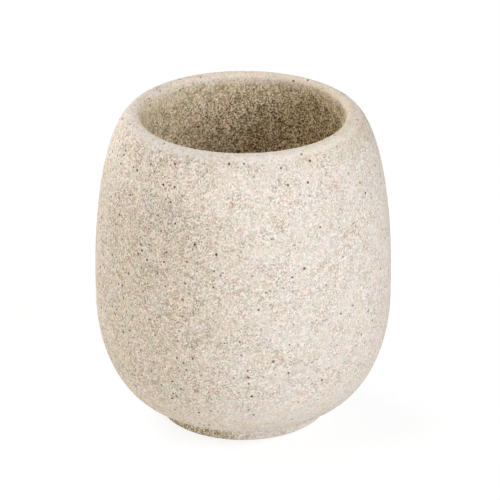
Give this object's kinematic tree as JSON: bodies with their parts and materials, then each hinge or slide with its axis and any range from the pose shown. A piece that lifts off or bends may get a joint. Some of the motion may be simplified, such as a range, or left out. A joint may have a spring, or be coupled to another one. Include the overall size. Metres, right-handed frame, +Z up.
{
  "type": "toothbrush holder",
  "caption": "Open round tumbler of cast sandstone resin on a narrow foot, with a rubber pad under it, that stands toothbrushes upright.",
  "frame": {"origin": "on the body's axis, at the pad's underside, where the tumbler meets the surface that it stands on", "axes": "+Z up along the body's axis; the body is turned, so +X and +Y are alike"},
  "size_m": [0.0926, 0.0926, 0.1008],
  "materials": {
    "sandstone_resin": "fine resin-bound sand, matte, cream with tan and grey grains and a few dark and reddish specks",
    "foot_rubber": "matte dark rubber",
    "adhesive_film": "smooth pale film, hidden between pad and foot"
  },
  "bodies": {
    "root": {"cup_body": "sandstone_resin", "non_slip_pad": "foot_rubber", "pad_adhesive_film": "adhesive_film"}
  },
  "joints": []
}
